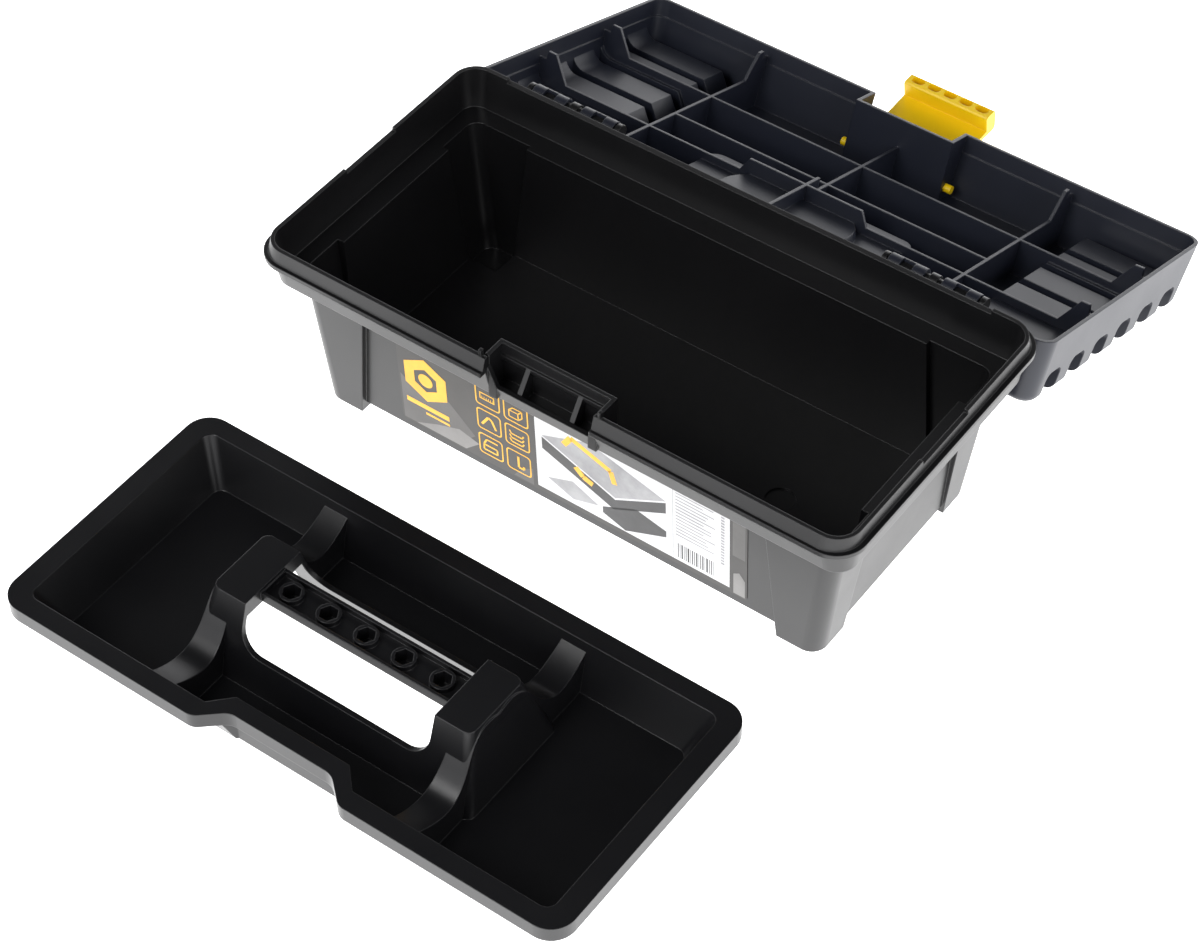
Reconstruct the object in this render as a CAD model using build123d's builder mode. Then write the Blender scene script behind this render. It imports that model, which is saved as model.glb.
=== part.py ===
"""Twelve-inch toolbox with a lift-out tray: case, hinged lid, front latch, carrying handle, tray, label.

Frame: millimetres, +X along the length, +Y to the hinge side, +Z up, origin on the floor under the
middle of the case.  Rest pose: lid thrown right back onto the floor, latch swung out, tray lifted
out and standing in front of the case.
"""

import os
from math import cos, radians, sin

from build123d import *

# ---------------------------------------------------------------- case
WALL = 2.2
LIP_X, LIP_Y, LIP_Z, LIP_R = 152.8, 75.9, 96.3, 12.0    # half length, half width, top and corner of the lip
FLANGE_X, FLANGE_Y, FLANGE_R = 156.0, 79.6, 15.0        # bead round the outside, under the lid rim
FLANGE_Z0, FLANGE_Z1 = 87.8, 90.2
SHOULDER_X, SHOULDER_Y = 153.7, 77.9                    # foot of the lip on the bead
SKIRT_X, SKIRT_Y = 151.5, 73.0                          # lower edge of the upper band
LEDGE_Z0, LEDGE_Z1 = 73.2, 75.4                         # inner ledge that carries the tray
WELL_X, WELL_Y, WELL_R = 139.8, 61.5, 8.0               # lower walls at the ledge
BASE_X, BASE_Y, BASE_Z = 134.0, 58.7, 4.5               # lower walls at the bottom
LEG_X, LEG_Y, FOOT_X, FOOT_Y = 143.3, 64.3, 134.9, 61.5  # corner legs at the ledge and at the floor
LEG_TOP, LEG_FOOT = (106.0, 36.0), (114.0, 40.5)        # inner edges of the legs, top and bottom
END_DIP, REAR_DIP, DIP = 17.5, 130.0, 1.8               # lowered stretches of the lip

# latch pocket in the middle of the front rim
POCKET_X, POCKET_Y, POCKET_T = 28.4, 63.6, 2.0
BAR_X, BAR_Z, BAR_T = 24.0, 80.0, 1.8
WEB_X, WEB_T = 13.8, 2.4

# snap hinges on the rear rim
AXIS_Y, AXIS_Z = 82.0, 88.0
PIN_R, BORE_R, EAR_R, CLIP_R = 2.8, 2.85, 4.2, 4.6
SNAP = 4.0                                              # mouth of the clips, narrower than the pin
EARS = ((71.0, 73.4), (95.0, 99.0), (120.6, 123.0))
CLIPS = ((74.2, 92.4), (101.6, 119.8))

# ---------------------------------------------------------------- lid
OPEN = 199.5                                    # swing between closed and lying on the floor
TILT = OPEN - 180.0
LID_X, LID_Y, LID_R, LID_WALL = 156.0, 80.8, 8.0, 1.8
RIM, DEPTH, DRAFT = 4.2, 33.8, 2.6              # rim plane above the hinge axis when closed, depth, wall lean
STEP = 8.5                                      # depth of the step inside the rim band
AXIS_AT = -1.0                                  # hinge axis from the rear rim edge, along the lid
RIB, RIB_TOP, RIB_HIGH = 1.6, 14.0, 7.0
RIB_X, RIB_S = 87.5, (54.0, 77.0, 110.0)        # distances s run from the rear edge of the rim
GROOVES = (20.0, 44.0, 68.0, 92.0, 116.0, 140.0)
GROOVE_W, GROOVE_D, GROOVE_X, GROOVE_END = 14.0, 14.0, (95.0, 106.5), 8.0
RECESS_X, RECESS_D = 25.8, 14.6                 # latch recess in the front wall of the lid
NEST_X, NEST_S, NEST_D = 54.0, (24.0, 64.0), 14.0   # handle nest in the top of the lid
DOME_S, DOME_X, DOME_Y, DOME_D = 38.0, 33.0, 26.0, 3.5        # finger scoop in the floor of the nest

# ---------------------------------------------------------------- handle, folded into its nest
HANDLE_S, HANDLE_D = 57.8, 26.6                 # pivot line from the rear edge and below the rim plane
HANDLE_X, HANDLE_REACH, ARM_W = 51.0, 25.5, 9.0
GRIP_W, GRIP_T, ARM_T, STUD_R = 15.0, 12.0, 8.0, 2.8
HANDLE_TOP = 4.0                                # crown of the grip above the lid top

# ---------------------------------------------------------------- latch
LATCH_S, LATCH_D = 150.0, 25.4                  # pivot line from the rear edge and below the rim plane
LATCH_X, LATCH_T, LATCH_PIN, PIN_END, LATCH_REST = 24.0, 2.4, 2.2, 31.5, 22.0
HOOK, HOOK_END, HOOK_H = 45.0, 52.6, 9.4
SCALLOPS, SCALLOP_PITCH = 5, 9.2

# ---------------------------------------------------------------- tray
TRAY_AT = (-7.0, -187.5)
TRAY_X, TRAY_Y, TRAY_R, TRAY_Z, T = 148.2, 67.6, 12.0, 25.6, 2.0
TRAY_SKIRT = 8.0
PAN_X, PAN_Y, PAN_R = 138.0, 58.7, 5.0          # opening of the pan at the rim
FLOOR_X, FLOOR_Y = 128.0, 50.5                  # floor of the pan
RIDGE_X, RIDGE_Y = 76.0, 31.0                   # central ridge at the floor
CAP_X, CAP_Y, CAP_Z, CAP_IN = 68.4, 17.8, 41.0, 50.0    # shoulders that carry the grip
GRIP_Y, GRIP_Z, GRIP_H = 8.3, 39.0, 5.0
GAP_Z, GAP_R = 18.5, 11.0                       # lower edge and lower corners of the hand opening
FIN_X, FIN_TOP, FIN_FOOT = 64.3, 5.0, 8.0       # partitions: middle, half width at the top and at the floor
BIT_PITCH, BIT_AF, BIT_OUT, BITS = 20.0, 7.6, 11.0, 5
NOTCH = (27.0, 40.0, 10.6)                      # bay in the front rim that clears the latch pocket

# ---------------------------------------------------------------- label
LABEL_X0, LABEL_X1, LABEL_Z0, LABEL_Z1, LABEL_T = -91.0, 97.0, 9.0, 70.0, 0.3

LID = Plane((0, AXIS_Y, AXIS_Z), x_dir=(1, 0, 0), z_dir=(0, sin(radians(TILT)), cos(radians(TILT))))
LID_UP = Axis(LID.origin, LID.z_dir)


def level(z):
    return Plane.XY.offset(z)


def slab(plane, x, y, r, at=(0, 0)):
    """Rounded rectangle of half size x by y on a plane."""
    with BuildSketch(plane) as s:
        with Locations(at):
            RectangleRounded(2 * x, 2 * y, r)
    return s.sketch


def plate(plane, *points):
    """Closed polygon on a plane."""
    with BuildSketch(plane) as s:
        with BuildLine():
            Polyline(*points, close=True)
        make_face()
    return s.sketch


def lid_point(x, s, w):
    """World point at length x, distance s from the rear rim edge and depth w below the rim plane."""
    return LID.from_local_coords((x, s - AXIS_AT, -RIM - w))


def lid_across(s):
    """Plane across the lid: x along the length, y the depth below the rim plane, normal to the front."""
    return Plane(lid_point(0, s, 0), x_dir=(1, 0, 0), z_dir=LID.y_dir)


def lid_along(x):
    """Plane along the lid: x the distance from the rear edge, y the depth, normal towards -X."""
    return Plane(lid_point(x, 0, 0), x_dir=LID.y_dir, z_dir=(-1, 0, 0))


def lid_flat(w):
    """Plane parallel to the rim at depth w: x along the length, y the distance from the rear edge."""
    return Plane(lid_point(0, 0, w), x_dir=(1, 0, 0), z_dir=LID.z_dir)


def side(x):
    """Plane across the case at x: its x runs to the rear and its y up."""
    return Plane((x, 0, 0), x_dir=(0, 1, 0), z_dir=(1, 0, 0))


def lid_shell(inset, w0, w1, r):
    """Two sections of the tapered lid form, pulled in by inset."""
    out = []
    for w in (w0, w1):
        d = DRAFT * w / DEPTH + inset
        out.append(slab(lid_flat(w), LID_X - d, LID_Y - d, r, (0, LID_Y)))
    return out


def leg_sections(inset, z0, z1):
    """Bottom and top sections of the four corner blocks, one pair per leg."""
    out = []
    for sx in (-1, 1):
        for sy in (-1, 1):
            pair = []
            for z, (ex, ey) in ((z0, LEG_FOOT), (z1, LEG_TOP)):
                with BuildSketch(level(z)) as s:
                    with Locations((sx * (ex + inset + 200) / 2, sy * (ey + inset + 120) / 2)):
                        Rectangle(200 - ex - inset, 120 - ey - inset)
                pair.append(s.sketch)
            out.append(pair)
    return out


# ================================================================ case
with BuildPart() as legs:
    for pair in leg_sections(0, 0, LEDGE_Z1):
        loft(pair)
    loft([slab(level(0), FOOT_X, FOOT_Y, 8), slab(level(LEDGE_Z1), LEG_X, LEG_Y, 8)], mode=Mode.INTERSECT)

with BuildPart() as leg_bores:
    for pair in leg_sections(WALL, WALL, LEDGE_Z1 + 1):
        loft(pair)
    loft(
        [slab(level(WALL), FOOT_X - WALL, FOOT_Y - WALL, 6),
         slab(level(LEDGE_Z1 + 1), LEG_X - WALL, LEG_Y - WALL, 6)],
        mode=Mode.INTERSECT,
    )

with BuildPart() as body:
    loft([slab(level(BASE_Z), BASE_X, BASE_Y, WELL_R - 1), slab(level(LEDGE_Z1), WELL_X, WELL_Y, WELL_R)])
    add(legs.part)
    loft([slab(level(LEDGE_Z0), SKIRT_X, SKIRT_Y, 10), slab(level(FLANGE_Z0), 152.9, 75.9, LIP_R)])
    extrude(slab(level(FLANGE_Z0), FLANGE_X, FLANGE_Y, FLANGE_R), FLANGE_Z1 - FLANGE_Z0)
    loft([slab(level(FLANGE_Z1), SHOULDER_X, SHOULDER_Y, 13), slab(level(LIP_Z), LIP_X, LIP_Y, LIP_R)])
    # inside above the ledge, then the well down to the floor and the hollow legs
    loft([slab(level(LEDGE_Z1), SKIRT_X - 2.1, SKIRT_Y - 2.0, 8),
          slab(level(LIP_Z + 1), LIP_X - 1.8, LIP_Y - 1.8, 10)], mode=Mode.SUBTRACT)
    loft([slab(level(BASE_Z + WALL), BASE_X - WALL, BASE_Y - WALL, 5),
          slab(level(LEDGE_Z1 + 1), WELL_X - WALL, WELL_Y - WALL, 6)], mode=Mode.SUBTRACT)
    add(leg_bores.part, mode=Mode.SUBTRACT)
    # round gate dimple in the floor
    with Locations((75, 0, BASE_Z + WALL - 0.9)):
        Cylinder(7, 3, align=(Align.CENTER, Align.CENTER, Align.MIN), mode=Mode.SUBTRACT)
    # dips in the end lips and along the rear lip
    for sx in (-1, 1):
        with Locations((sx * LIP_X, 0, LIP_Z - DIP)):
            Box(12, 2 * END_DIP, 10, align=(Align.CENTER, Align.CENTER, Align.MIN), mode=Mode.SUBTRACT)
    with Locations((0, LIP_Y, LIP_Z - DIP)):
        Box(2 * REAR_DIP, 12, 10, align=(Align.CENTER, Align.CENTER, Align.MIN), mode=Mode.SUBTRACT)
    # front pocket for the latch: the rim steps back round it
    with Locations((0, -POCKET_Y + POCKET_T, LEDGE_Z0)):
        Box(2 * (POCKET_X + POCKET_T), SKIRT_Y - POCKET_Y + POCKET_T, LIP_Z - LEDGE_Z0,
            align=(Align.CENTER, Align.MAX, Align.MIN))
    with Locations((0, -POCKET_Y, LEDGE_Z1)):
        Box(2 * POCKET_X, 8.2, 40, align=(Align.CENTER, Align.MAX, Align.MIN), mode=Mode.SUBTRACT)
    with Locations((0, -POCKET_Y - 5, BAR_Z)):
        Box(2 * POCKET_X, 30, 40, align=(Align.CENTER, Align.MAX, Align.MIN), mode=Mode.SUBTRACT)
    # bead round the back of the pocket
    with Locations((0, -POCKET_Y, FLANGE_Z0)):
        Box(2 * POCKET_X, 1.3, FLANGE_Z1 - FLANGE_Z0, align=(Align.CENTER, Align.MAX, Align.MIN))
    for sx in (-1, 1):
        # slanted cheek that runs down to the front bar, and the small nib on the lip
        extrude(plate(Plane.XZ.offset(SKIRT_Y - 1.2),
                      (sx * POCKET_X, LEDGE_Z0), (sx * POCKET_X, FLANGE_Z1),
                      (sx * BAR_X, BAR_Z), (sx * BAR_X, LEDGE_Z0)), 2.6)
        with Locations((sx * (POCKET_X + 2.8), -LIP_Y + 1.0, LIP_Z - 1)):
            Box(1.5, 2.0, 4.4, align=(Align.CENTER, Align.CENTER, Align.MIN))
        # stiffening webs in the pocket
        extrude(plate(side(sx * WEB_X - WEB_T / 2),
                      (-POCKET_Y + 0.5, LEDGE_Z0), (-POCKET_Y + 0.5, FLANGE_Z1), (-POCKET_Y - 1, FLANGE_Z1),
                      (-SKIRT_Y + 1, BAR_Z - 0.6), (-SKIRT_Y + 1, LEDGE_Z0)), WEB_T)
        # rear hinge: relief behind the clips, ears and pin
        with Locations((sx * (EARS[0][0] + EARS[-1][1]) / 2, 76.9, 82.8)):
            Box(EARS[-1][1] - EARS[0][0] + 2.4, 10, 10.6, align=(Align.CENTER, Align.MIN, Align.MIN),
                mode=Mode.SUBTRACT)
        for a, b in EARS:
            with Locations((sx * (a + b) / 2, AXIS_Y, AXIS_Z)):
                Cylinder(EAR_R, b - a, rotation=(0, 90, 0))
            with Locations((sx * (a + b) / 2, 74.6, AXIS_Z)):
                Box(b - a, AXIS_Y - 74.6, 6.0, align=(Align.CENTER, Align.MIN, Align.CENTER))
        with Locations((sx * (EARS[0][0] + EARS[-1][1]) / 2, AXIS_Y, AXIS_Z)):
            Cylinder(PIN_R, EARS[-1][1] - EARS[0][0] - 1, rotation=(0, 90, 0))

# ================================================================ lid
NEST_MID, NEST_LEN = sum(NEST_S) / 2, NEST_S[1] - NEST_S[0]


def recess(plane, x, s):
    """Plan of the latch recess, half width x, reaching back to distance s."""
    return plate(plane, (-x, s), (x, s), (x, 175), (-x, 175))


def groove_profile(grow):
    """Outline along the length of an end groove in the lid top, enlarged by grow on its inner face."""
    top = DEPTH - GROOVE_D - grow
    x0, x1 = (x - grow for x in GROOVE_X)
    with BuildSketch(lid_across(0)) as sk:
        with BuildLine():
            if grow:
                end, r = LID_X - LID_WALL - DRAFT * 0.4, GROOVE_END
                Polyline((165, DEPTH + 1), (x0, DEPTH + 1), (x1, top), (end - r, top))
                ThreePointArc((end - r, top), (end - 0.293 * r, top - 0.293 * r), (end, top - r))
                Polyline((end, top - r), (165, top - r), (165, DEPTH + 1))
            else:
                Polyline((165, DEPTH + 1), (x0, DEPTH + 1), (x1, top), (165, top), close=True)
        make_face()
    return sk.sketch


def scoop(w, grow):
    """Flat-topped finger scoop in the nest floor: half ellipse cut off at the rear nest wall."""
    with BuildSketch(lid_flat(w)) as sk:
        with Locations((0, DOME_S)):
            Ellipse(DOME_X + grow, DOME_Y + grow)
        with Locations((0, NEST_MID)):
            Rectangle(2 * NEST_X, NEST_LEN - 4 + 2 * max(grow, 0), mode=Mode.INTERSECT)
    return sk.sketch


with BuildPart() as slot:
    extrude(groove_profile(0), GROOVE_W / 2, both=True)
    fillet(slot.edges().filter_by(Axis.X).sort_by(LID_UP)[-2:], 4)

with BuildPart() as bar:
    extrude(groove_profile(LID_WALL), GROOVE_W / 2 + LID_WALL, both=True)


def at_grooves(piece):
    """Copies of an end groove piece at every station on both ends of the lid."""
    both = (piece, piece.mirror(Plane.YZ))
    return [p.moved(Location(LID.y_dir * s)) for p in both for s in GROOVES]


with BuildPart() as lid_room:
    loft(lid_shell(LID_WALL, -1, STEP, 6.5))
    loft(lid_shell(LID_WALL + 0.7, STEP, DEPTH - 2.0, 6))
    extrude(recess(lid_flat(-2), RECESS_X + LID_WALL, 2 * LID_Y - RECESS_D - LID_WALL), -DEPTH - 2,
            mode=Mode.SUBTRACT)
    for piece in at_grooves(bar.part):
        add(piece, mode=Mode.SUBTRACT)
    extrude(slab(lid_flat(DEPTH), NEST_X + 2, NEST_LEN / 2 + 2, 6, (0, NEST_MID)), NEST_D + 2,
            mode=Mode.SUBTRACT)
    loft([scoop(DEPTH - NEST_D - 1, 3.5), scoop(DEPTH - NEST_D - 2 - DOME_D, 1.5)], mode=Mode.SUBTRACT)

# rib ends climb to the rim, then drop to leave room for the lip of the case
END_RISE = ((136.5, RIB_TOP), (145, 1.0), (149.4, 0.8), (150.0, 5.2), (LID_X, 5.2))
HUMP = ((-35, RIB_TOP), (-31, RIB_HIGH), (31, RIB_HIGH), (35, RIB_TOP))

with BuildPart() as lid_ribs:
    # cross ribs; the outer two climb to the rim at both ends, the first has a hump over the nest
    for s, long, crest in zip(RIB_S, (True, False, True), (HUMP, (), ())):
        rise = END_RISE if long else ((RIB_X, RIB_TOP),)
        extrude(plate(lid_across(s), *[(-x, w) for x, w in reversed(rise)], *crest, *rise,
                      (rise[-1][0], DEPTH), (-rise[-1][0], DEPTH)), RIB / 2, both=True)
    # outer lengthways ribs climb to the rim at the front; the middle one is high behind the nest
    for x in (-RIB_X, RIB_X):
        extrude(plate(lid_along(x), (2, RIB_TOP + 8), (8, RIB_TOP), (141, RIB_TOP), (150, 1.0), (153.4, 0.8),
                      (154.0, 5.2), (161, 5.2), (161, DEPTH), (2, DEPTH)), RIB / 2, both=True)
    extrude(plate(lid_along(0), (0, RIB_HIGH), (66, RIB_HIGH), (66, RIB_TOP), (150, RIB_TOP),
                  (150, DEPTH), (0, DEPTH)), RIB / 2, both=True)
    add(lid_room.part, mode=Mode.INTERSECT)

with BuildPart() as lid:
    loft(lid_shell(0, 0, DEPTH, LID_R))
    fillet(lid.faces().filter_by(LID_UP).sort_by(LID_UP)[0].edges(), 5)
    extrude(recess(lid_flat(-2), RECESS_X, 2 * LID_Y - RECESS_D), -DEPTH - 4, mode=Mode.SUBTRACT)
    for piece in at_grooves(slot.part):
        add(piece, mode=Mode.SUBTRACT)
    extrude(slab(lid_flat(DEPTH + 1), NEST_X, NEST_LEN / 2, 5, (0, NEST_MID)), NEST_D + 1, mode=Mode.SUBTRACT)
    loft([scoop(DEPTH - NEST_D + 1, 0.5), scoop(DEPTH - NEST_D - DOME_D, -1)], mode=Mode.SUBTRACT)
    add(lid_room.part, mode=Mode.SUBTRACT)
    add(lid_ribs.part)

    # holes for the latch pins and the handle studs
    for s, w, r, reach in ((LATCH_S, LATCH_D, LATCH_PIN, RECESS_X), (HANDLE_S, HANDLE_D, STUD_R, NEST_X)):
        with BuildSketch(lid_along(0)):
            with Locations((s, w)):
                Circle(r + 0.05)
        extrude(amount=reach + 3.4, both=True, mode=Mode.SUBTRACT)
    # rear wall relief and snap-on clips round the hinge pins
    for sx in (-1, 1):
        near, far = EARS[0][0] - 1, EARS[-1][1] + 1
        extrude(plate(lid_along(sx * (near + far) / 2 + (far - near) / 2), (-2, -2), (4, -2), (4, 1.4), (-2, 1.4)),
                far - near, mode=Mode.SUBTRACT)
        for a, b in CLIPS:
            with BuildSketch(lid_along(max(sx * a, sx * b))):
                with Locations((AXIS_AT, -RIM)):
                    Circle(CLIP_R)
                with Locations((0.9, 0.0)):
                    Rectangle(1.8, 6.8)
                with Locations((AXIS_AT, -RIM)):
                    Circle(BORE_R, mode=Mode.SUBTRACT)
                with Locations((AXIS_AT - 3, -RIM)):
                    Rectangle(6, SNAP, mode=Mode.SUBTRACT)
            extrude(amount=b - a)
            # window in the middle of each clip
            extrude(plate(lid_along(sx * (a + b) / 2 + 3.2), (-7, -RIM - 6), (-7, -0.4), (AXIS_AT + 0.4, -0.4),
                          (AXIS_AT + 0.4, -RIM - 6)), 6.4, mode=Mode.SUBTRACT)

# ================================================================ latch
LATCH_AT = lid_point(0, LATCH_S, LATCH_D)
LATCH_UP = radians(LATCH_REST - TILT)
# x runs along the plate away from the pivot, y towards the hook
ARM = Plane(LATCH_AT, x_dir=(0, cos(LATCH_UP), sin(LATCH_UP)), z_dir=(1, 0, 0))
HOOK_TOP = Plane(ARM.from_local_coords((0, HOOK_H, 0)), x_dir=(1, 0, 0), z_dir=ARM.y_dir)

with BuildPart() as latch:
    with BuildSketch(ARM):
        with BuildLine():
            Polyline((0, 0), (HOOK, 0), (HOOK - 0.9, HOOK_H - 1), (HOOK, HOOK_H), (HOOK_END - 1.5, HOOK_H - 0.4),
                     (HOOK_END, HOOK_H - 1.8), (HOOK_END + 0.4, -1.4), (HOOK_END - 0.6, -LATCH_T - 1.0),
                     (HOOK_END - 2.4, -LATCH_T - 1.0), (HOOK - 6, -LATCH_T), (0, -LATCH_T), close=True)
        make_face()
        Circle(LATCH_T)
    extrude(amount=LATCH_X, both=True)
    with BuildSketch(ARM):
        Circle(LATCH_PIN)
    extrude(amount=PIN_END, both=True)
    # rounded recesses between the two ridges of the hook
    with BuildSketch(HOOK_TOP.offset(1)):
        with Locations(*[((i - (SCALLOPS - 1) / 2) * SCALLOP_PITCH, (HOOK + HOOK_END) / 2)
                         for i in range(SCALLOPS)]):
            RectangleRounded(7.0, 4.8, 2.2)
    extrude(amount=-HOOK_H + 0.4, mode=Mode.SUBTRACT)

# ================================================================ handle
HANDLE_AT = lid_point(0, HANDLE_S, HANDLE_D)
# x runs along the length, y from the pivot line to the grip, z out of the lid top
NEST = Plane(HANDLE_AT, x_dir=(-1, 0, 0), z_dir=-LID.z_dir)
CROWN = DEPTH - HANDLE_D + HANDLE_TOP

with BuildPart() as grip:
    with BuildSketch(NEST.offset(CROWN - GRIP_T)):
        with Locations((0, -HANDLE_REACH)):
            RectangleRounded(2 * HANDLE_X, GRIP_W, 6)
    extrude(amount=GRIP_T)
    fillet(grip.faces().filter_by(LID_UP).edges(), 3.5)

with BuildPart() as handle:
    with BuildSketch(NEST.offset(-ARM_T / 2)):
        with Locations(*[(sx * (HANDLE_X - ARM_W / 2), -HANDLE_REACH / 2) for sx in (-1, 1)]):
            RectangleRounded(ARM_W, HANDLE_REACH + ARM_T, 4)
    extrude(amount=ARM_T)
    add(grip.part)
    with BuildSketch(lid_along(0)):
        with Locations((HANDLE_S, HANDLE_D)):
            Circle(STUD_R)
    extrude(amount=NEST_X + 2.4, both=True)
    with BuildSketch(lid_along(0)):
        with Locations((HANDLE_S, HANDLE_D)):
            Circle(STUD_R + 3)
    extrude(amount=HANDLE_X - ARM_W, both=True, mode=Mode.SUBTRACT)

# ================================================================ tray
def tray_rim(z, inset, r):
    """Rim outline with the bay that clears the latch pocket, pulled in by inset."""
    (x0, x1, d), y = NOTCH, TRAY_Y - inset
    with BuildSketch(level(z)) as sk:
        RectangleRounded(2 * (TRAY_X - inset), 2 * y, r)
        with BuildSketch(level(z), mode=Mode.SUBTRACT) as bay:
            with BuildLine():
                Polyline((-x1 - inset, -y - 1), (-x0 - inset, -y + d), (x0 + inset, -y + d),
                         (x1 + inset, -y - 1), close=True)
            make_face()
            fillet(bay.vertices().filter_by(lambda v: v.Y > -y), 9 - inset)
        fillet(sk.vertices().filter_by(lambda v: abs(v.Y + y) < 0.01 and abs(v.X) < 60), 7 + inset)
    return sk.sketch


def pan(z, x, y, r, back):
    """Pan section whose front middle is pushed back to a given depth."""
    with BuildSketch(level(z)) as sk:
        RectangleRounded(2 * x, 2 * y, r)
        with BuildSketch(level(z), mode=Mode.SUBTRACT):
            with BuildLine():
                Polyline((-50, -70), (-30, -back), (30, -back), (50, -70), close=True)
            make_face()
    return sk.sketch


def ridge(inset, z0, z1):
    """Sections of the central ridge, pulled in by inset."""
    return [slab(level(z0), RIDGE_X - inset, RIDGE_Y - inset, 4 - inset),
            slab(level(z1), CAP_X - inset, CAP_Y - inset, 4 - inset)]


def pan_form(grow, z0, z1):
    """Sections of the pan, grown outwards, from the floor to the rim."""
    back = (FLOOR_Y + 0.6, 51) if grow else (FLOOR_Y - 1.4, 49)
    return [pan(z0, FLOOR_X + 0.78 * grow, FLOOR_Y + 0.78 * grow, 5 + grow / 2, back[0]),
            pan(z1, PAN_X + grow, PAN_Y + grow, PAN_R + grow, back[1])]


def saddle(drop):
    """Concave outline of a partition in the y-z plane, lowered by drop."""
    with BuildSketch(side(0)) as sk:
        with BuildLine():
            Spline((0, CAP_Z - 3 - drop), (17, CAP_Z - 6 - drop), (25, 23 - drop), (36, 14.5 - drop),
                   (48, 16.5 - drop), (60, TRAY_Z - 2.4 - drop))
            Polyline((60, TRAY_Z - 2.4 - drop), (60, -2), (0, -2), (0, CAP_Z - 3 - drop))
        make_face()
    return sk.sketch


def four(piece):
    """A piece and its mirror images in both middle planes."""
    pair = (piece, piece.mirror(Plane.YZ))
    return [*pair, *(p.mirror(Plane.XZ) for p in pair)]


with BuildPart() as reach:
    loft(pan_form(1.8, 0, TRAY_Z - 0.5))
    extrude(slab(level(TRAY_Z - 1), 100, 44, 2), 30)

with BuildPart() as partition:
    extrude(saddle(0), 90)
    loft([slab(level(-2), FIN_FOOT, 70, 2, (FIN_X, 0)), slab(level(CAP_Z), FIN_TOP, 70, 2, (FIN_X, 0))],
         mode=Mode.INTERSECT)
    add(reach.part, mode=Mode.INTERSECT)

with BuildPart() as partition_bore:
    extrude(saddle(T), 90)
    loft([slab(level(-2), FIN_FOOT - T, 70, 1, (FIN_X, 0)), slab(level(CAP_Z), FIN_TOP - T, 70, 1, (FIN_X, 0))],
         mode=Mode.INTERSECT)
    extrude(slab(level(-2), 100, PAN_Y - 8, 2), 60, mode=Mode.INTERSECT)

with BuildPart() as window:
    with BuildSketch(Plane.XZ.offset(-40)):
        with Locations((0, GAP_Z + 40)):
            RectangleRounded(2 * CAP_IN, 80, GAP_R)
    extrude(amount=80)

with BuildPart() as ridge_room:
    loft(ridge(T, -1, CAP_Z - T))
    for sx in (-1, 1):
        with Locations((sx * (CAP_IN + T / 2), 0, GRIP_Z - GRIP_H - 1)):
            Box(T, 100, 20, align=(Align.CENTER, Align.CENTER, Align.MIN), mode=Mode.SUBTRACT)

with BuildPart() as tray_cast:
    # rim with its hanging skirt
    extrude(tray_rim(TRAY_Z, 0, TRAY_R), -TRAY_SKIRT)
    extrude(tray_rim(TRAY_Z - T, 1.8, TRAY_R - 1.8), -TRAY_SKIRT, mode=Mode.SUBTRACT)
    # pan
    loft(pan_form(1.8, 0, TRAY_Z - 0.5))
    loft(pan_form(0, T, TRAY_Z + 0.5), mode=Mode.SUBTRACT)
    # hollow ridge, open underneath, with a hand opening through it
    loft(ridge(0, 0, CAP_Z))
    add(window.part, mode=Mode.SUBTRACT)
    for piece in four(partition.part):
        add(piece)
    add(ridge_room.part, mode=Mode.SUBTRACT)
    for piece in four(partition_bore.part):
        add(piece, mode=Mode.SUBTRACT)
    # grip bar: a channel with hexagonal sockets for screwdriver bits
    with Locations((0, 0, GRIP_Z)):
        Box(2 * CAP_IN + 2, 2 * GRIP_Y, GRIP_H, align=(Align.CENTER, Align.CENTER, Align.MAX))
    with Locations((0, 0, GRIP_Z - GRIP_H + 2)):
        Box(2 * CAP_IN - 1, 2 * GRIP_Y - 3, GRIP_H, align=(Align.CENTER, Align.CENTER, Align.MIN),
            mode=Mode.SUBTRACT)
    sockets = [((i - (BITS - 1) / 2) * BIT_PITCH, 0) for i in range(BITS)]
    with BuildSketch(level(GRIP_Z - 9)):
        with Locations(*sockets):
            Circle(BIT_OUT / 2)
    extrude(amount=8.8)
    with BuildSketch(level(GRIP_Z + 1)):
        with Locations(*sockets):
            RegularPolygon(BIT_AF / 2, 6, major_radius=False)
    extrude(amount=-8.6, mode=Mode.SUBTRACT)
    # long slot pressed into the face of the bay
    with Locations((-6, -TRAY_Y + NOTCH[2] - 0.6, TRAY_Z - 4.6)):
        Box(28, 1.2, 2.2, align=(Align.CENTER, Align.MAX, Align.CENTER), mode=Mode.SUBTRACT)

with BuildPart() as tray:
    with Locations((*TRAY_AT, 0)):
        add(tray_cast.part)

# ================================================================ label
LEAN = (WELL_Y - BASE_Y) / (LEDGE_Z1 - BASE_Z)
LABEL_ZM = (LABEL_Z0 + LABEL_Z1) / 2
LABEL_FACE = Plane(((LABEL_X0 + LABEL_X1) / 2, -BASE_Y - LEAN * (LABEL_ZM - BASE_Z), LABEL_ZM),
                   x_dir=(1, 0, 0), z_dir=(0, -1, -LEAN))

with BuildPart() as label:
    with BuildSketch(LABEL_FACE):
        RectangleRounded(LABEL_X1 - LABEL_X0, LABEL_Z1 - LABEL_Z0, 2)
    extrude(amount=LABEL_T)

body.part.label = "body"
lid.part.label = "lid"
latch.part.label = "latch"
handle.part.label = "handle"
tray.part.label = "tray"
label.part.label = "label"

os.makedirs("parts", exist_ok=True)
for piece in (body, lid, latch, handle, tray, label):
    export_step(piece.part, f"parts/{piece.part.label}.step")
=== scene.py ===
import math

import bmesh
import bpy
from mathutils import Matrix, Vector


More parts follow.
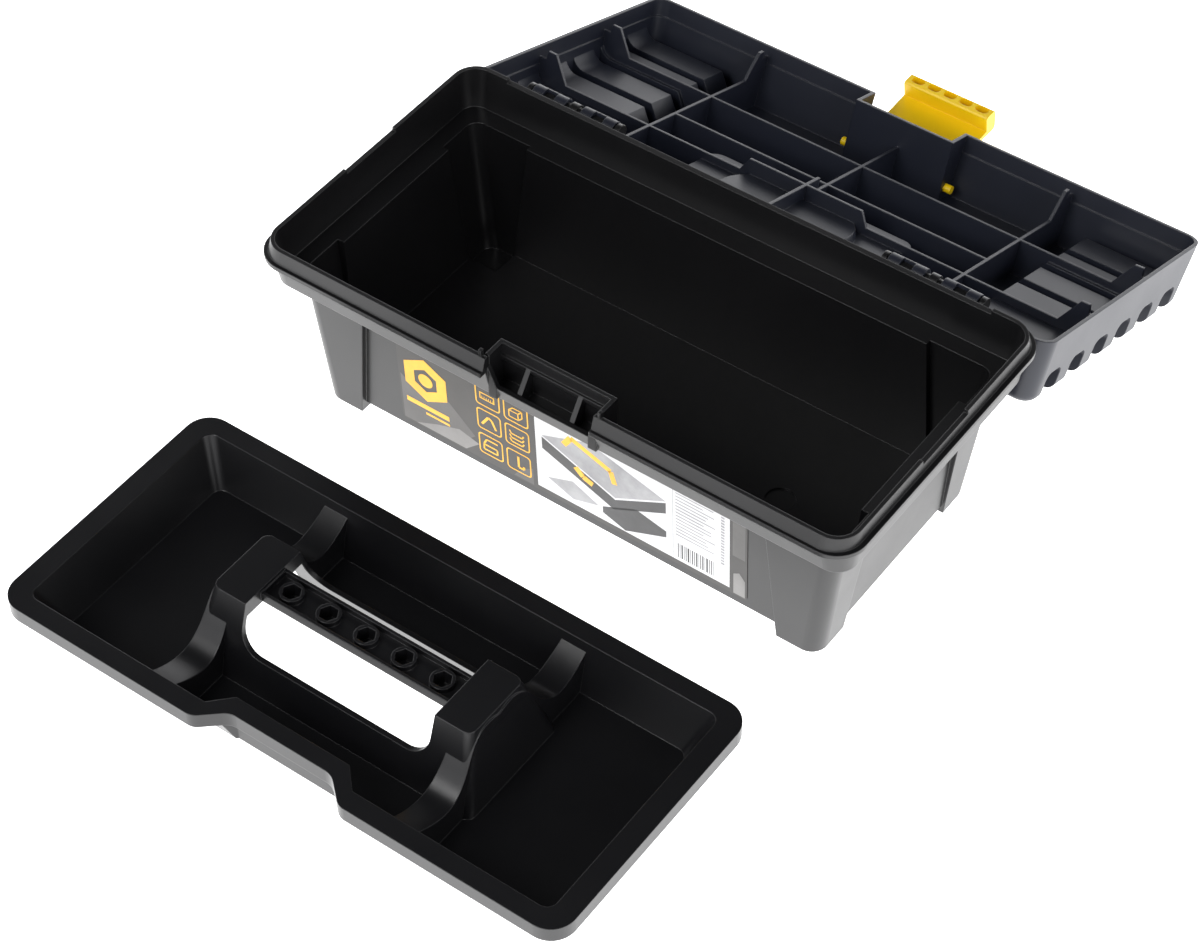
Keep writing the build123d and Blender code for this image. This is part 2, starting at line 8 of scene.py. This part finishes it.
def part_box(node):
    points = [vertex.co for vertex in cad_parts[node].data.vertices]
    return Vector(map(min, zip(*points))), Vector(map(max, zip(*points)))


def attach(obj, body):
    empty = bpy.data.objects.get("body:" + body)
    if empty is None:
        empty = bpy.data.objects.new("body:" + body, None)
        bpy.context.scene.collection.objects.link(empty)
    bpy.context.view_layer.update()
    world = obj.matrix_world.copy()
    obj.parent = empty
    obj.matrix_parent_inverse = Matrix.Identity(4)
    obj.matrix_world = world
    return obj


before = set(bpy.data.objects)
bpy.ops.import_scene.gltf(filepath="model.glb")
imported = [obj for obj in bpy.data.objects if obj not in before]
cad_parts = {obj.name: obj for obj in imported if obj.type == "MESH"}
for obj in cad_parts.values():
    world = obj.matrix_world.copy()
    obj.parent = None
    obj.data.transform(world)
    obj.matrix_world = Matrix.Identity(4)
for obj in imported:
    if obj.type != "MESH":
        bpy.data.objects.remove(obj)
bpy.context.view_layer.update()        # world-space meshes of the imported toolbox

MM = 0.001


# ------------------------------------------------------------------ helpers
def deg(a):
    return math.radians(a)


def corners(node):
    low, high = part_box(node)
    return Vector(low), Vector(high)


class Nodes:
    """Small builder for a node material."""

    def __init__(self, name):
        self.mat = bpy.data.materials.new(name)
        self.mat.use_nodes = True
        self.tree = self.mat.node_tree
        self.bsdf = next(n for n in self.tree.nodes if n.type == "BSDF_PRINCIPLED")
        self.out = next(n for n in self.tree.nodes if n.type == "OUTPUT_MATERIAL")

    def add(self, kind, **values):
        node = self.tree.nodes.new(kind)
        for key, value in values.items():
            if hasattr(node, key):
                setattr(node, key, value)
            else:
                node.inputs[key.replace("_", " ")].default_value = value
        return node

    def link(self, a, b):
        self.tree.links.new(a, b)

    def coords(self):
        return self.add("ShaderNodeTexCoord").outputs["Object"]

    def noise(self, scale, detail=3.0, rough=0.5, vector=None):
        node = self.add("ShaderNodeTexNoise")
        node.inputs["Scale"].default_value = scale
        node.inputs["Detail"].default_value = detail
        node.inputs["Roughness"].default_value = rough
        self.link(vector or self.coords(), node.inputs["Vector"])
        return node.outputs["Fac"]

    def ramp(self, fac, stops):
        node = self.add("ShaderNodeValToRGB")
        els = node.color_ramp.elements
        while len(els) < len(stops):
            els.new(0.5)
        for el, (pos, col) in zip(els, stops):
            el.position = pos
            el.color = (*col, 1) if len(col) == 3 else col
        self.link(fac, node.inputs["Fac"])
        return node.outputs["Color"]

    def spread(self, fac, low, high):
        node = self.add("ShaderNodeMapRange")
        node.inputs["To Min"].default_value = low
        node.inputs["To Max"].default_value = high
        self.link(fac, node.inputs["Value"])
        return node.outputs["Result"]


def plastic(name, dark, light, rough=0.36, specular=0.5, grain=0.35, edge=0.0007):
    """Injection-moulded polypropylene: faint flow mottling, fine satin grain, softened edges."""
    m = Nodes(name)
    colour = m.ramp(m.noise(9.0, 4.0, 0.6), ((0.3, dark), (0.7, light)))
    m.link(colour, m.bsdf.inputs["Base Color"])
    m.link(m.spread(m.noise(26.0, 5.0, 0.62), rough - 0.05, rough + 0.07), m.bsdf.inputs["Roughness"])
    m.bsdf.inputs["Specular IOR Level"].default_value = specular
    bevel = m.add("ShaderNodeBevel")
    bevel.samples = 6
    bevel.inputs["Radius"].default_value = edge
    bump = m.add("ShaderNodeBump")
    bump.inputs["Strength"].default_value = grain
    bump.inputs["Distance"].default_value = 0.00003
    m.link(m.noise(1900.0, 2.0, 0.5), bump.inputs["Height"])
    m.link(bevel.outputs["Normal"], bump.inputs["Normal"])
    m.link(bump.outputs["Normal"], m.bsdf.inputs["Normal"])
    return m.mat


def ink(name, dark, light, scale=60.0, rough=0.32):
    """Printed film: slightly uneven ink under a gloss coat."""
    m = Nodes(name)
    m.link(m.ramp(m.noise(scale, 5.0, 0.65), ((0.35, dark), (0.65, light))), m.bsdf.inputs["Base Color"])
    m.link(m.spread(m.noise(140.0, 3.0, 0.5), rough - 0.04, rough + 0.06), m.bsdf.inputs["Roughness"])
    return m.mat


BLACK = plastic("case_black", (0.0040, 0.0040, 0.0045), (0.0062, 0.0060, 0.0066), rough=0.33)
TRAY = plastic("tray_black", (0.0042, 0.0042, 0.0050), (0.0066, 0.0066, 0.0076), rough=0.30)
GREY = plastic("lid_grey", (0.0105, 0.0125, 0.0215), (0.014, 0.0165, 0.0270), rough=0.38)
YELLOW = plastic("yellow", (0.95, 0.62, 0.002), (1.0, 0.70, 0.005), rough=0.38, grain=0.2)
FILM = ink("film_dark", (0.016, 0.014, 0.0125), (0.024, 0.021, 0.019))
FILM_MID = ink("film_mid", (0.055, 0.052, 0.050), (0.085, 0.081, 0.078), 35.0)
FILM_PALE = ink("film_pale", (0.16, 0.155, 0.15), (0.22, 0.215, 0.21), 35.0)
INK_GOLD = ink("ink_gold", (0.80, 0.40, 0.004), (0.95, 0.50, 0.01))
INK_WHITE = ink("ink_white", (0.62, 0.62, 0.63), (0.72, 0.72, 0.73))
INK_GREY = ink("ink_grey", (0.24, 0.24, 0.25), (0.36, 0.36, 0.37))
INK_DARK = ink("ink_dark", (0.012, 0.012, 0.013), (0.03, 0.03, 0.032))


def coat(node, material):
    """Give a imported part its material."""
    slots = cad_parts[node].data.materials
    slots.clear()
    slots.append(material)


for node, material in (("body", BLACK), ("lid", GREY), ("latch", YELLOW), ("handle", YELLOW),
                       ("tray", TRAY), ("label", FILM)):
    coat(node, material)

# ------------------------------------------------------------------ print on the label
FILM_LOW, FILM_HIGH = corners("label")
FILM_FOOT = FILM_HIGH.y - 0.3 * MM
FILM_LEAN = (FILM_LOW.y - FILM_FOOT) / (FILM_HIGH.z - FILM_LOW.z)
FILM_W = (FILM_HIGH.x - FILM_LOW.x) / MM
FILM_H = (FILM_HIGH.z - FILM_LOW.z) / MM


def on_film(u, v, lift):
    """World point on the film: u and v in mm from its lower left corner, lifted off its face in mm."""
    z = FILM_LOW.z + v * MM
    return (FILM_LOW.x + u * MM, FILM_FOOT + FILM_LEAN * v * MM - lift * MM, z)


def printed(name, shapes, material, lift):
    """One ink layer: closed outlines laid flat on the film."""
    bm = bmesh.new()
    for outline in shapes:
        bm.faces.new([bm.verts.new(on_film(u, v, lift)) for u, v in outline])
    bmesh.ops.triangulate(bm, faces=bm.faces[:])
    me = bpy.data.meshes.new(name)
    bm.to_mesh(me)
    bm.free()
    me.materials.append(material)
    ob = bpy.data.objects.new(name, me)
    bpy.context.collection.objects.link(ob)
    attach(ob, "case")
    return ob


def rect(u0, v0, u1, v1):
    return [(u0, v0), (u1, v0), (u1, v1), (u0, v1)]


def disc(u, v, r, count=24, turn=0.0):
    return [(u + r * math.cos(turn + 2 * math.pi * i / count), v + r * math.sin(turn + 2 * math.pi * i / count))
            for i in range(count)]


def rounded(u0, v0, u1, v1, r):
    out = []
    for cu, cv, start in ((u1 - r, v0 + r, -90), (u1 - r, v1 - r, 0), (u0 + r, v1 - r, 90), (u0 + r, v0 + r, 180)):
        out += [(cu + r * math.cos(deg(start + 15 * i)), cv + r * math.sin(deg(start + 15 * i))) for i in range(7)]
    return out


def ring(outer, inner):
    """Frame between two outlines with the same number of points, as quads."""
    n = len(outer)
    return [[outer[i], outer[(i + 1) % n], inner[(i + 1) % n], inner[i]] for i in range(n)]


def stroke(points, width):
    """A bent line drawn as one quad per leg."""
    out = []
    for (a, b), (c, d) in zip(points, points[1:]):
        du, dv = c - a, d - b
        length = math.hypot(du, dv)
        nu, nv = -dv / length * width / 2, du / length * width / 2
        out.append([(a - nu, b - nv), (c - nu, d - nv), (c + nu, d + nv), (a + nu, b + nv)])
    return out


# lighter grey facets behind the print
printed("print_facets", [
    [(1, 1), (30, 1), (42, 13), (28, 27), (14, 20), (1, 30)],
    [(63, 1), (74, 1), (74, 12), (68, 8)],
    [(180.5, 26), (187, 26), (187, 60), (180.5, 60)],
], FILM_MID, 0.03)
printed("print_facets_pale", [
    [(8, 1), (36, 1), (44, 9), (33, 12), (20, 7)],
    [(181, 1), (187, 1), (187, 12), (184, 16), (181, 14)],
], FILM_PALE, 0.05)

# round-cornered pictogram squares and a plain hexagon nut emblem
gold = []
gold += ring(disc(15.5, 33, 13.6, 6, math.pi / 6), disc(15.5, 33, 7.2, 6, math.pi / 6))
gold.append(rect(3.5, 13.5, 27.5, 16.5))
gold.append(rect(14, 10.2, 27.5, 11.6))
ICON = 13.5
COLUMNS, ROWS = (44.0, 59.5), (37.3, 21.3, 4.8)


def icon(column, row):
    """Lower left corner of a pictogram square."""
    return COLUMNS[column], ROWS[row] - 0.4 * column


for column in range(2):
    for row in range(3):
        u, v = icon(column, row)
        gold += ring(rounded(u, v, u + ICON, v + ICON, 2.0), rounded(u + 0.7, v + 0.7, u + ICON - 0.7, v + ICON - 0.7, 1.5))

u, v = icon(0, 0)           # ruler
gold += ring(rect(u + 2.4, v + 4.4, u + 10.6, v + 8.6), rect(u + 3.0, v + 5.0, u + 10.0, v + 8.0))
gold += [rect(u + 3.6 + 1.2 * i, v + 5.0, u + 3.9 + 1.2 * i, v + 6.4) for i in range(6)]
u, v = icon(1, 0)           # box with its three sizes
gold += stroke([(u + 3, v + 3), (u + 8, v + 3), (u + 8, v + 7), (u + 3, v + 7), (u + 3, v + 3)], 0.6)
gold += stroke([(u + 3, v + 7), (u + 5.2, v + 9.4), (u + 10.2, v + 9.4), (u + 8, v + 7)], 0.6)
gold += stroke([(u + 10.2, v + 9.4), (u + 10.2, v + 5.4), (u + 8, v + 3)], 0.6)
u, v = icon(0, 1)           # handle swinging up
gold += stroke([(u + 2.6, v + 3.4), (u + 6.4, v + 9.4), (u + 8.2, v + 8.4), (u + 10.4, v + 3.2)], 1.3)
u, v = icon(1, 1)           # stacked trays
for lift in (2.6, 5.2, 7.8):
    gold += stroke([(u + 2.6, v + lift + 1.8), (u + 3.6, v + lift), (u + 9.4, v + lift), (u + 10.4, v + lift + 1.8)], 0.8)
u, v = icon(0, 2)           # open lid
gold += stroke([(u + 2.8, v + 3.2), (u + 10.2, v + 3.2), (u + 10.2, v + 6.4), (u + 2.8, v + 6.4), (u + 2.8, v + 3.2)], 0.9)
gold += stroke([(u + 2.8, v + 6.6), (u + 4.4, v + 10.2), (u + 10.6, v + 10.2)], 0.9)
u, v = icon(1, 2)           # latch
gold += stroke([(u + 6.5, v + 10.4), (u + 6.5, v + 3.4), (u + 9.4, v + 3.4), (u + 9.4, v + 5.2)], 1.2)
printed("print_gold", gold, INK_GOLD, 0.07)
printed("print_nut_bore", [disc(15.5, 33, 4.0)], INK_GOLD, 0.09)

# white panel with a picture of the box, lines of small print and a bar code
printed("print_panel", [[(76.5, 3), (179, 3), (179, 57), (76.5, 57)]], INK_WHITE, 0.05)
case = [(80, 30), (118, 14), (146, 30), (146, 37), (119, 21), (80, 37.5)]
lid_top = [(80, 38.5), (106, 50), (146, 38), (119, 22.2)]
printed("print_case", [case, [(112, 8), (124, 3.6), (146, 14), (146, 18), (130, 22), (112, 12)]], INK_DARK, 0.07)
printed("print_case_top", [lid_top, [(82, 12), (96, 6), (110, 11), (96, 18)]], INK_GREY, 0.08)
printed("print_case_gold", [*stroke([(92, 40), (96, 46.5), (117, 38.5), (119, 31)], 3.0),
                            *stroke([(98, 29), (102, 25), (107, 23)], 3.4)], INK_GOLD, 0.10)
lines = [rect(151, 49 - 2.1 * i, 151 + 17.5 + 3.2 * math.sin(2.4 * i), 49.8 - 2.1 * i) for i in range(15)]
lines += [rect(174.5, 16 + 1.9 * i, 176.4, 17.3 + 1.9 * i) for i in range(20)]
lines.append(rect(149.4, 4, 149.7, 56))
printed("print_lines", lines, INK_GREY, 0.07)
widths = (0.5, 0.3, 0.8, 0.3, 0.5, 0.9, 0.3, 0.6, 0.4, 0.8, 0.3, 0.5, 0.7, 0.3, 0.9, 0.4, 0.5, 0.3)
bars, at = [], 152.0
for width in widths:
    bars.append(rect(at, 5, at + width, 14.5))
    at += width + 0.55
printed("print_bars", bars, INK_DARK, 0.07)

# ------------------------------------------------------------------ studio
def studio():
    scene = bpy.context.scene
    world = scene.world or bpy.data.worlds.new("studio")
    scene.world = world
    world.use_nodes = True
    t = world.node_tree
    for n in list(t.nodes):
        t.nodes.remove(n)
    out = t.nodes.new("ShaderNodeOutputWorld")
    back = t.nodes.new("ShaderNodeBackground")
    geo = t.nodes.new("ShaderNodeTexCoord")
    sep = t.nodes.new("ShaderNodeSeparateXYZ")
    ramp = t.nodes.new("ShaderNodeValToRGB")
    t.links.new(geo.outputs["Generated"], sep.inputs[0])
    t.links.new(sep.outputs["Z"], ramp.inputs["Fac"])
    ramp.color_ramp.elements[0].position = 0.34
    ramp.color_ramp.elements[0].color = (0.98, 0.98, 1.0, 1)
    ramp.color_ramp.elements[1].position = 0.62
    ramp.color_ramp.elements[1].color = (0.03, 0.03, 0.032, 1)
    t.links.new(ramp.outputs["Color"], back.inputs["Color"])
    back.inputs["Strength"].default_value = 1.75
    t.links.new(back.outputs[0], out.inputs[0])

    me = bpy.data.meshes.new("floor")
    s = 8.0
    me.from_pydata([(-s, -s, 0), (s, -s, 0), (s, s, 0), (-s, s, 0)], [], [(0, 1, 2, 3)])
    floor = bpy.data.objects.new("floor", me)
    bpy.context.collection.objects.link(floor)
    m = Nodes("floor_white")
    m.bsdf.inputs["Base Color"].default_value = (0.9, 0.9, 0.9, 1)
    m.bsdf.inputs["Roughness"].default_value = 0.9
    m.bsdf.inputs["Emission Color"].default_value = (1, 1, 1, 1)
    m.bsdf.inputs["Emission Strength"].default_value = 1.8
    me.materials.append(m.mat)

    def soft(name, where, aim, size, power):
        light = bpy.data.lights.new(name, "AREA")
        light.shape = "RECTANGLE"
        light.size, light.size_y = size
        light.energy = power
        ob = bpy.data.objects.new(name, light)
        bpy.context.collection.objects.link(ob)
        ob.location = where
        d = Vector(aim) - Vector(where)
        ob.rotation_euler = d.to_track_quat("-Z", "Y").to_euler()

    soft("key", (-0.6, -2.4, 2.6), (0, 0, 0.05), (1.6, 1.6), 62)
    soft("fill", (2.4, -0.6, 1.6), (0, 0, 0.05), (1.2, 1.2), 16)
    scene.view_settings.view_transform = "Standard"


def camera():
    az, el, roll = deg(36.29), deg(47.50), deg(-0.41)
    back = Vector((math.sin(az) * math.cos(el), -math.cos(az) * math.cos(el), math.sin(el)))
    right = Vector((math.cos(az), math.sin(az), 0))
    up = back.cross(right)
    r = right * math.cos(roll) + up * math.sin(roll)
    u = up * math.cos(roll) - right * math.sin(roll)
    data = bpy.data.cameras.new("camera")
    data.sensor_width = 36
    data.lens = 36 * 3096 / 1200
    data.clip_end = 50
    ob = bpy.data.objects.new("camera", data)
    bpy.context.collection.objects.link(ob)
    ob.matrix_world = Matrix(((r.x, u.x, back.x, 0.5545), (r.y, u.y, back.y, -0.7881),
                              (r.z, u.z, back.z, 1.0265), (0, 0, 0, 1)))
    bpy.context.scene.camera = ob


studio()
camera()

bpy.context.view_layer.update()
